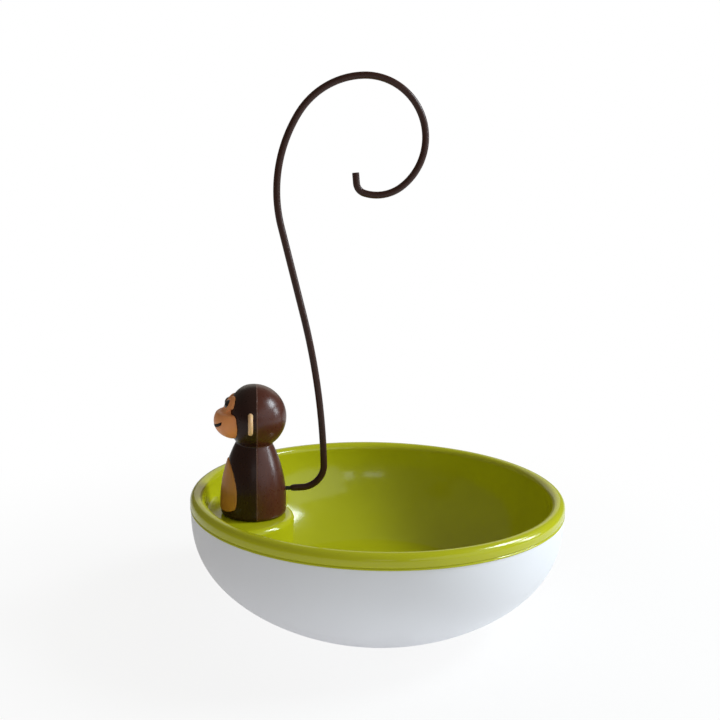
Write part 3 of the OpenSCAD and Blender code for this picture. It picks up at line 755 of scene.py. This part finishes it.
def rim_rings(rays):
    """Rings of the rolled rim: over the bead, down the lip and up into the channel under it."""
    middle = (RIM_R - BEAD_R, BEAD_Z)
    channel_r = BEAD_R - LINER_WALL
    notch_z = SEAT_Z + SHADOW_UP
    bead_steps, channel_steps = 28, 10
    outside = arc(middle, BEAD_R, 180, 0, bead_steps)[1:]
    lip = rounded([
        outside[-1], (RIM_R, notch_z + SHADOW_LINE), (RIM_R - SHADOW_LINE, notch_z),
        (RIM_R, notch_z - SHADOW_LINE), (RIM_R, SEAT_Z), (RIM_R - LINER_WALL, SEAT_Z),
        (RIM_R - LINER_WALL, BEAD_Z)
    ], LIP_ROUNDS, steps=4)
    channel = arc(middle, channel_r, 0, 180, channel_steps)[:-1]
    section = outside + [tuple(p) for p in lip[1:-1]] + channel
    theta = np.linspace(0, 2 * math.pi, rays, endpoint=False)
    r, z = np.array(section).T
    return np.stack([
        r[:, None] * np.cos(theta), r[:, None] * np.sin(theta), z[:, None] * np.ones(rays)
    ], -1)


def inner_bowl_mesh(rays=LINER_AROUND):
    front = liner_rings(rays, 0, deck=6, edge=9, side=15, fillet=6, wall=64)
    back = liner_rings(rays, LINER_WALL, deck=4, edge=4, side=8, fillet=3, wall=24)
    rings = np.concatenate([front, rim_rings(rays), back[::-1]])
    count = len(rings)
    index = np.arange(count * rays).reshape(count, rays)
    beside = np.roll(index, -1, axis=1)
    quads = np.stack([index[:-1], beside[:-1], beside[1:], index[1:]], -1).reshape(-1, 4)
    return tidy_mesh(mesh_of("inner_bowl", rings.reshape(-1, 3), quads), merge=LINER_MERGE)


# Tail

def bend_points(at, radius, turn, step=BEND_STEP):
    """Points along one bend in the XZ plane, and where it ends: x, z and heading in degrees."""
    x, z, heading = at
    side = math.copysign(1, turn)
    centre = (x - side * radius * math.sin(math.radians(heading)),
              z + side * radius * math.cos(math.radians(heading)))
    count = max(int(radius * abs(math.radians(turn)) / step), 2)
    points = []
    for i in range(1, count + 1):
        now = math.radians(heading + turn * i / count)
        points.append((centre[0] + side * radius * math.sin(now), 0,
                       centre[1] - side * radius * math.cos(now)))
    return points, (points[-1][0], points[-1][2], heading + turn)


def straight(at, length):
    x, z, heading = at
    angle = math.radians(heading)
    end = (x + length * math.cos(angle), z + length * math.sin(angle), heading)
    return [(end[0], 0, end[1])], end


def follow(at, bends):
    points = []
    for radius, turn in bends:
        more, at = bend_points(at, radius, turn)
        points += more
    return points, at


def tail_line():
    """The tail's middle line, from inside the figure to the end of the sleeve."""
    root = (FIGURE_X + BODY_R, LEDGE_H + ROOT_H, ROOT_SLOPE)
    first, _ = straight(root, -ROD_GRIP)
    run, at = straight(root, ROOT_RUN)
    stalk, at = follow(at, STALK_BENDS)
    hook, _ = follow((0, 0, at[2]), HOOK_BENDS)
    rise = OVERALL_H - SLEEVE_D / 2 - at[1] - max(p[2] for p in hook)
    lift, at = straight(at, rise / math.sin(math.radians(at[2])))
    hook, at = follow(at, HOOK_BENDS)
    tip, _ = straight(at, TIP_RUN)
    return first + run + stalk + lift + hook + tip


def length_of(points):
    points = np.array(points)
    return np.linalg.norm(np.diff(points, axis=0), axis=1).sum()


def sleeve_section(whole):
    """The sleeve's outline: down the bore from its closed tip, up the tapered start and back to the tip."""
    start = ROD_GRIP + BARE_LEN
    bore = ROD_D / 2 + SLEEVE_FIT
    outer = SLEEVE_D / 2
    thin = bore + TAPER_EDGE
    cap = whole - TIP_CAP
    body = np.arange(start + TAPER_LEN, whole - TIP_ROUND, SLEEVE_STEP)
    section = [(0, cap), (bore, cap)]
    section += [(bore, s) for s in body[::-1] if s < cap - LAST_STEP]
    section += [(bore, start), (thin, start)]
    for t in np.linspace(0.1, 0.9, 8):
        swell = math.sin(t * math.pi / 2) ** TAPER_POWER
        section.append((thin + (outer - thin) * swell, start + t * TAPER_LEN))
    section += [(outer, s) for s in body]
    tip = [(outer, body[-1] + SLEEVE_TIP_STEP), (outer, whole), (0, whole)]
    return section + rounded(tip, TIP_ROUND)[1:]


def rod_section(whole):
    r = ROD_D / 2
    end = whole - TIP_CAP - ROD_END_GAP
    shaft = [(r, s) for s in np.arange(ROD_STEP, end - LAST_STEP, ROD_STEP)]
    return [(0, 0), (r, 0)] + shaft + [(r, end), (0, end)]


def tail_pieces(sleeve_finish, rod_finish):
    line = tail_line()
    whole = length_of(line)
    sleeve = turned("tail_sleeve", sleeve_section(whole), line, SLEEVE_AROUND, sleeve_finish)
    place("tail_sleeve", sleeve, sleeve_finish, "brown_sleeve", "tail_sleeve")
    rod = turned("tail_rod", rod_section(whole), line, ROD_AROUND, rod_finish)
    place("tail_rod", rod, rod_finish, "steel", "tail_rod")


# Materials

class Finish:
    """A surface's colour, gloss and relief, and short ways to vary them over the surface."""

    def __init__(self, name, colour, roughness, sockets=None):
        self.material = bpy.data.materials.new(name)
        self.material.use_nodes = True
        self.tree = self.material.node_tree
        self.shader = self.tree.nodes["Principled BSDF"]
        given = {"Base Color": (*colour, 1), "Roughness": roughness, **(sockets or {})}
        for socket, value in given.items():
            self.shader.inputs[socket].default_value = value
        self.place = add(self.tree, "ShaderNodeTexCoord").outputs["Object"]

    def noise(self, size, detail, stretch=(1, 1, 1)):
        """Noise whose features are about this many millimetres across."""
        scale = [s / (size * MM) for s in stretch]
        mapping = add(self.tree, "ShaderNodeMapping", {"Vector": self.place, "Scale": scale})
        inputs = {"Vector": mapping.outputs[0], "Scale": 1, "Detail": detail}
        return add(self.tree, "ShaderNodeTexNoise", inputs).outputs["Fac"]

    def ramp(self, value, low, high, from_low=0.3, from_high=0.7):
        limits = {"From Min": from_low, "From Max": from_high, "To Min": low, "To Max": high}
        return add(self.tree, "ShaderNodeMapRange", {"Value": value, **limits}).outputs["Result"]

    def near_plane(self, x, full, none):
        """One on the plane at x and close to it, and nothing further away."""
        here = add(self.tree, "ShaderNodeSeparateXYZ", {0: self.place}).outputs["X"]
        away = maths(self.tree, "ABSOLUTE", maths(self.tree, "SUBTRACT", here, x))
        return self.ramp(away, 1, 0, full, none)

    def tint(self, value, other):
        """Mixes the colour so far towards another one where the value is high."""
        colour = self.shader.inputs["Base Color"]
        so_far = colour.links[0].from_socket if colour.is_linked else tuple(colour.default_value)
        self.tree.links.new(mix_colour(self.tree, value, so_far, (*other, 1)), colour)

    def vary_roughness(self, value, low, high):
        self.tree.links.new(self.ramp(value, low, high), self.shader.inputs["Roughness"])

    def bump(self, *layers):
        """Each layer is a height in 0 to 1 and the depth in millimetres that it stands for."""
        below = {}
        for value, depth in layers:
            inputs = {"Height": value, "Distance": depth * MM, **below}
            below = {"Normal": add(self.tree, "ShaderNodeBump", inputs).outputs["Normal"]}
        self.tree.links.new(below["Normal"], self.shader.inputs["Normal"])
        return self


def satin_white():
    look = Finish("satin white shell", (0.84, 0.842, 0.865), 0.38, {"Specular IOR Level": 0.45})
    cloud = look.noise(60, 2)
    look.tint(look.ramp(cloud, 0, 0.35), (0.81, 0.812, 0.835))
    look.vary_roughness(look.noise(9, 4), 0.34, 0.44)
    return look.bump((look.noise(0.35, 2), 0.006), (look.noise(45, 1), 0.12)).material


def gloss_green():
    look = Finish("glossy green liner", (0.515, 0.52, 0.0088), 0.12, {"Specular IOR Level": 0.5})
    look.tint(look.ramp(look.noise(70, 2), 0, 0.4), (0.475, 0.485, 0.0088))
    look.vary_roughness(look.noise(14, 4), 0.11, 0.19)
    return look.bump((look.noise(26, 1.5), 0.22), (look.noise(5, 2), 0.01)).material


def chocolate(name, colour, warm, gloss, seam_highlight=(0.2, 0.095, 0.07)):
    """Moulded plastic, with a painted highlight along the welded join between the half shells."""
    look = Finish(name, colour, 0.27, {"Specular IOR Level": gloss})
    look.tint(look.ramp(look.noise(11, 4), 0, 0.6), warm)
    # Painted highlight: a paler line on the join of the half shells, where its rounded edges would catch
    # the light
    look.tint(look.near_plane((FIGURE_X + SEAM_X) * MM, 0.25 * MM, 0.5 * MM), seam_highlight)
    look.vary_roughness(look.noise(2.5, 4), 0.26, 0.33)
    return look.bump((look.noise(0.3, 2), 0.004), (look.noise(7, 2), 0.05)).material


def tan(name, colour, warm):
    look = Finish(name, colour, 0.42, {"Specular IOR Level": 0.45, "Subsurface Weight": 0.06})
    look.shader.inputs["Subsurface Scale"].default_value = 1.5 * MM
    look.tint(look.ramp(look.noise(6, 4), 0, 0.7), warm)
    look.vary_roughness(look.noise(2, 3), 0.37, 0.5)
    return look.bump((look.noise(0.3, 2), 0.01), (look.noise(5, 2), 0.04)).material


def gloss_black():
    look = Finish("gloss black", (0.008, 0.007, 0.007), 0.09, {"Coat Weight": 0.5, "Coat Roughness": 0.03})
    look.tint(look.ramp(look.noise(2, 2), 0, 0.5), (0.013, 0.011, 0.010))
    return look.bump((look.noise(1.5, 2), 0.004)).material


def matt_black():
    look = Finish("matt black", (0.006, 0.005, 0.005), 0.6, {"Specular IOR Level": 0.2})
    look.tint(look.ramp(look.noise(2, 2), 0, 0.5), (0.010, 0.008, 0.007))
    return look.bump((look.noise(0.5, 2), 0.01)).material


def sleeve_brown():
    look = Finish("brown sleeve", (0.038, 0.012, 0.007), 0.32, {"Specular IOR Level": 0.3})
    look.tint(look.ramp(look.noise(18, 3), 0, 0.5), (0.050, 0.017, 0.010))
    look.vary_roughness(look.noise(4, 3), 0.26, 0.36)
    return look.bump((look.noise(0.4, 2), 0.003), (look.noise(8, 2), 0.03)).material


def blackened_steel():
    look = Finish("blackened steel", (0.06, 0.058, 0.055), 0.35, {"Metallic": 1.0})
    look.tint(look.ramp(look.noise(1.2, 3), 0, 0.6), (0.035, 0.033, 0.032))
    look.vary_roughness(look.noise(0.8, 3), 0.24, 0.4)
    return look.bump((look.noise(0.5, 2, stretch=(0.05, 1, 1)), 0.01)).material


def dark_moulding():
    look = Finish("dark moulded base", (0.03, 0.014, 0.011), 0.5)
    look.tint(look.ramp(look.noise(6, 3), 0, 0.5), (0.04, 0.018, 0.014))
    look.vary_roughness(look.noise(1.5, 3), 0.45, 0.6)
    return look.bump((look.noise(0.4, 2), 0.012)).material


white_finish = satin_white()
green_finish = gloss_green()
# One brown plastic in two copies: the front half's is darker as painted shade, the rear half's lighter and
# redder as painted light
shade_painted_front_finish = chocolate("chocolate front half with painted shade", (0.024, 0.0080, 0.0052), (0.031, 0.0105, 0.0065), 0.28)
light_painted_rear_finish = chocolate("chocolate rear half with painted light", (0.080, 0.018, 0.009), (0.098, 0.024, 0.012), 0.5)
tan_finish = tan("tan plates", (0.86, 0.325, 0.106), (0.77, 0.29, 0.094))
# The plates' tan, darker and yellower on the belly as painted shade and painted green bounce light from the
# bowl
shade_painted_belly_finish = tan("tan belly with painted shade and green bounce", (0.62, 0.265, 0.060), (0.55, 0.235, 0.053))
# The plates' tan, paler on the ears as painted light
light_painted_ear_finish = tan("tan ears with painted light", (0.86, 0.55, 0.28), (0.80, 0.48, 0.23))
black_finish = gloss_black()
mouth_finish = matt_black()
sleeve_finish = sleeve_brown()
steel_finish = blackened_steel()
base_finish = dark_moulding()


# The object

place("outer_bowl", outer_bowl_mesh(white_finish), white_finish, "white_shell", "outer_bowl")
place("inner_bowl", inner_bowl_mesh(), green_finish, "green_liner", "inner_bowl")

# Each piece of the figure is looked for in a box about the figure's axis
MARGIN = 2
FIGURE_SIDE = BODY_R + MARGIN
FIGURE_TOP = HEAD_H + HEAD_R + MARGIN
FRONT_BOX = ((-FIGURE_SIDE, -FIGURE_SIDE, -MARGIN), (SEAM_X + 1, FIGURE_SIDE, FIGURE_TOP))
REAR_BOX = ((SEAM_X - 1, -FIGURE_SIDE, -MARGIN), (FIGURE_SIDE, FIGURE_SIDE, FIGURE_TOP))
FACE_BOX = ((-MUZZLE_REACH - MARGIN, -20, HEAD_H - 17), (-3, 20, HEAD_H + 19))
MOUTH_BOX = ((-MUZZLE_REACH - MARGIN, -15, HEAD_H - 9), (-10, 15, HEAD_H + 3))
BELLY_BOX = ((-BODY_R - 3, -21, MARGIN), (-4, 21, BELLY_TOP + MARGIN))
EAR_BOX_HALF = (4, 11, 10)
FINE_SEAM = (SEAM_X, SEAM_CELL, SEAM_REACH)

figure_piece("figure_front_shell", front_shell, FRONT_BOX, SHELL_CELL, shade_painted_front_finish,
             "brown_figure", "figure_front_shell", FINE_SEAM)
figure_piece("figure_rear_shell", rear_shell, REAR_BOX, SHELL_CELL, light_painted_rear_finish,
             "brown_figure", "figure_rear_shell", FINE_SEAM)
figure_piece("face_plate", face_plate, FACE_BOX, PLATE_CELL, tan_finish, "tan_plates", "face_plate")
figure_piece("mouth_line", mouth, MOUTH_BOX, MOUTH_CELL, mouth_finish, "black_trim", "mouth_line")
figure_piece("belly_plate", belly_plate, BELLY_BOX, PLATE_CELL, shade_painted_belly_finish, "tan_plates", "belly_plate")
for side, name in ((-1, "left_ear"), (1, "right_ear")):
    middle = (-EAR_FORWARD, side * (EAR_SIDE + MARGIN), HEAD_H - EAR_DOWN)
    low = [m - half for m, half in zip(middle, EAR_BOX_HALF)]
    high = [m + half for m, half in zip(middle, EAR_BOX_HALF)]
    figure_piece(name, partial(ear, side=side), (low, high), EAR_CELL, light_painted_ear_finish, "tan_plates", name)
tail_pieces(sleeve_finish, steel_finish)
for name, finish in (("left_eye", black_finish), ("right_eye", black_finish), ("figure_base", base_finish),
                     ("figure_screws", steel_finish), ("tail_set_screw", steel_finish)):
    nodes[name].data.materials.clear()
    nodes[name].data.materials.append(finish)


# Floor, light and camera

WHITE = (1, 1, 1, 1)
FLOOR_SIZE = 3.0
FLOOR_DROP = 0.0001
FLOOR_COLOUR = (0.9, 0.9, 0.9, 1)
FLOOR_ROUGHNESS = 0.9
# The floor's share of plain white near the object, and how far out it starts to grow and is complete
NEAR_GLOW = 0.86
FADE_START = 0.12
FADE_END = 0.5
# What share of that white shows in gloss, and what share of it lights the object and in what colour
GLOSS_GLOW = 0.2
BOUNCE_GLOW = 0.58
BOUNCE_COLOUR = (0.95, 0.965, 1, 1)


def white_floor():
    """A pale floor that keeps the shadow near the object and fades to plain white further out."""
    mesh = bpy.data.meshes.new("floor")
    work = bmesh.new()
    bmesh.ops.create_circle(work, cap_ends=True, segments=128, radius=FLOOR_SIZE)
    work.to_mesh(mesh)
    work.free()
    mesh.transform(Matrix.Translation((0, 0, -FLOOR_DROP)))
    material = bpy.data.materials.new("pale floor")
    material.use_nodes = True
    mesh.materials.append(material)
    tree = material.node_tree
    shader = tree.nodes["Principled BSDF"]
    shader.inputs["Base Color"].default_value = FLOOR_COLOUR
    shader.inputs["Roughness"].default_value = FLOOR_ROUGHNESS
    here = add(tree, "ShaderNodeTexCoord").outputs["Object"]
    away = add(tree, "ShaderNodeVectorMath", {0: here}, operation="LENGTH").outputs["Value"]
    fade = add(tree, "ShaderNodeMapRange", {
        "Value": away, "From Min": FADE_START, "From Max": FADE_END, "To Min": NEAR_GLOW, "To Max": 1
    }, interpolation_type="SMOOTHSTEP").outputs["Result"]
    ray = add(tree, "ShaderNodeLightPath").outputs
    glow = add(tree, "ShaderNodeEmission")
    tree.links.new(mix_colour(tree, ray["Is Diffuse Ray"], WHITE, BOUNCE_COLOUR), glow.inputs["Color"])
    in_gloss = maths(tree, "MULTIPLY", ray["Is Glossy Ray"], GLOSS_GLOW)
    bounce = maths(tree, "MULTIPLY", ray["Is Diffuse Ray"], BOUNCE_GLOW)
    seen = maths(tree, "MAXIMUM", ray["Is Camera Ray"], maths(tree, "MAXIMUM", in_gloss, bounce))
    share = maths(tree, "MULTIPLY", seen, fade)
    mix = add(tree, "ShaderNodeMixShader", {"Fac": share, 1: shader.outputs[0], 2: glow.outputs[0]})
    tree.links.new(mix.outputs[0], tree.nodes["Material Output"].inputs["Surface"])
    floor = link("floor", mesh)


def white_world(light=0.16, in_gloss=0.1, overhead=0.12, colour=(1, 0.94, 0.82)):
    """White behind the object. Its light is dimmer, and gloss shows a dim room, brighter upwards."""
    world = bpy.data.worlds.new("white studio")
    bpy.context.scene.world = world
    world.use_nodes = True
    tree = world.node_tree
    background = tree.nodes["Background"]
    heading = add(tree, "ShaderNodeTexCoord").outputs["Generated"]
    up = add(tree, "ShaderNodeSeparateXYZ", {0: heading}).outputs["Z"]
    ray = add(tree, "ShaderNodeLightPath").outputs
    upward = maths(tree, "MULTIPLY", maths(tree, "MAXIMUM", up, 0), overhead)
    dimmer = maths(tree, "MULTIPLY", ray["Is Glossy Ray"], light - in_gloss)
    strength = maths(tree, "SUBTRACT", maths(tree, "ADD", upward, light), dimmer)
    seen = maths(tree, "MAXIMUM", ray["Is Camera Ray"], ray["Is Transmission Ray"])
    tree.links.new(mix_colour(tree, seen, (*colour, 1), WHITE), background.inputs["Color"])
    tree.links.new(maths(tree, "MAXIMUM", strength, seen), background.inputs["Strength"])


def softbox(name, position, target, width, height, power, colour):
    light = bpy.data.lights.new(name, "AREA")
    light.shape = "RECTANGLE"
    light.size = width
    light.size_y = height
    light.energy = power
    light.color = colour
    lamp = link(name, light)
    lamp.location = position
    lamp.rotation_euler = (Vector(target) - Vector(position)).to_track_quat("-Z", "Y").to_euler()


def photo_camera():
    """The camera of the photograph, fitted to the rim, the foot and the top of the tail."""
    distance = 0.7009
    height = 0.3106
    turned_by = math.radians(8)
    yaw = math.radians(-1.139) + turned_by
    pitch = math.radians(10.305)
    roll = math.radians(1.078)
    focal_px = 1036.25
    frame_px = 720
    forward = Vector((math.sin(yaw) * math.cos(pitch), math.cos(yaw) * math.cos(pitch), -math.sin(pitch)))
    right = Vector((math.cos(yaw), -math.sin(yaw), 0))
    up = right.cross(forward)
    right, up = right * math.cos(roll) + up * math.sin(roll), up * math.cos(roll) - right * math.sin(roll)
    data = bpy.data.cameras.new("camera")
    data.sensor_width = 36
    data.lens = data.sensor_width * focal_px / frame_px
    camera = link("camera", data)
    turn = Matrix((right, up, -forward)).transposed().to_4x4()
    stand = (-distance * math.sin(turned_by), -distance * math.cos(turned_by), height)
    camera.matrix_world = Matrix.Translation(stand) @ turn
    bpy.context.scene.camera = camera


white_floor()
white_world()
WINDOW_LIGHT = (0.83, 0.93, 1)
ROOM_LIGHT = (1, 0.94, 0.85)
# What the lamps aim at: the middle of the object, and the bowl's far wall, which two windows glint on
MIDDLE = (0, 0, 0.1)
FAR_WALL = (0, 0.117, 0.066)
softbox("window", (1.2, -0.04, 0.44), MIDDLE, 0.22, 0.34, 4.0, WINDOW_LIGHT)
softbox("window top", (1.1, -0.05, 1.02), MIDDLE, 0.5, 0.4, 13.0, WINDOW_LIGHT)
softbox("window beside the camera", (0.95, -1.0, 0.62), MIDDLE, 1.2, 1.0, 3.2, WINDOW_LIGHT)
softbox("back wall", (0.1, 1.3, 0.7), MIDDLE, 1.4, 0.8, 2.2, ROOM_LIGHT)
softbox("far window left", (-0.12, -1.48, 0.53), FAR_WALL, 0.38, 0.15, 0.4, WINDOW_LIGHT)
softbox("far window right", (0.37, -1.44, 0.53), FAR_WALL, 0.2, 0.28, 0.4, WINDOW_LIGHT)
photo_camera()
bpy.context.scene.view_settings.view_transform = "Standard"
